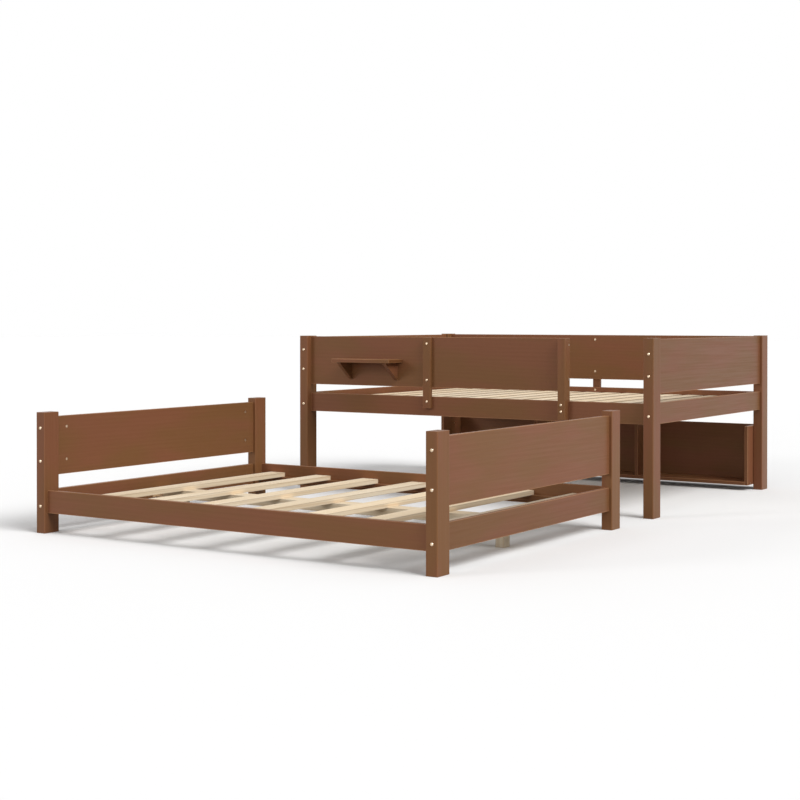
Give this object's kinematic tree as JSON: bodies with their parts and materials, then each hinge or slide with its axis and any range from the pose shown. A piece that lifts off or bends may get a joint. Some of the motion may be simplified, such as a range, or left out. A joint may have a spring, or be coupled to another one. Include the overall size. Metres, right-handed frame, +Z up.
{
  "type": "bunk bed",
  "caption": "Bunk bed taken apart into a low bed and a loft bed, with slatted decks, end panels, guards with an entry gap, an outside shelf and an open cubby unit.",
  "frame": {"origin": "on the floor, at the middle of the box round both beds with their bolt heads and the cubby unit", "axes": "+X along the beds from the head end to the foot end, +Y across the beds from the low bed at the front to the loft bed behind it, +Z up"},
  "size_m": [2.015, 3.391, 0.824],
  "materials": {
    "stained_wood": "satin brown stain over solid wood",
    "natural_pine": "unfinished planed pine",
    "zinc_steel": "bright zinc plate"
  },
  "bodies": {
    "root": {"low_post_head_front": "stained_wood", "low_post_head_back": "stained_wood", "low_post_foot_front": "stained_wood", "low_post_foot_back": "stained_wood", "headboard_panel": "stained_wood", "head_rail": "stained_wood", "footboard_panel": "stained_wood", "foot_rail": "stained_wood", "low_front_rail": "stained_wood", "low_back_rail": "stained_wood", "low_front_cleat": "stained_wood", "low_back_cleat": "stained_wood", "low_slat_1": "natural_pine", "low_slat_2": "natural_pine", "low_slat_3": "natural_pine", "low_slat_4": "natural_pine", "low_slat_5": "natural_pine", "low_slat_6": "natural_pine", "low_slat_7": "natural_pine", "low_centre_beam": "natural_pine", "centre_legs": "natural_pine", "loft_post_head_front": "stained_wood", "loft_post_head_back": "stained_wood", "loft_post_foot_front": "stained_wood", "loft_post_foot_back": "stained_wood", "loft_head_panel": "stained_wood", "loft_head_rail": "stained_wood", "loft_foot_panel": "stained_wood", "loft_foot_rail": "stained_wood", "loft_front_rail": "stained_wood", "loft_back_rail": "stained_wood", "loft_front_cleat": "stained_wood", "loft_back_cleat": "stained_wood", "loft_slats": "natural_pine", "loft_centre_beam": "natural_pine", "front_guard": "stained_wood", "back_guard": "stained_wood", "front_strip": "stained_wood", "back_strip": "stained_wood", "entry_post": "stained_wood", "shelf_board": "stained_wood", "shelf_bracket_left": "stained_wood", "shelf_bracket_right": "stained_wood", "cubby_floor": "stained_wood", "cubby_side_left": "stained_wood", "cubby_divider_left": "stained_wood", "cubby_divider_right": "stained_wood", "cubby_side_right": "stained_wood", "cubby_back_panel": "stained_wood", "beam_hangers": "zinc_steel", "rail_hook_plates": "zinc_steel", "post_catch_plates": "zinc_steel", "post_bolts": "zinc_steel", "barrel_nuts": "zinc_steel", "strip_bolts": "zinc_steel", "strip_nuts": "zinc_steel", "wood_screws": "zinc_steel", "panel_screws": "zinc_steel", "plate_screws": "zinc_steel"}
  },
  "joints": []
}
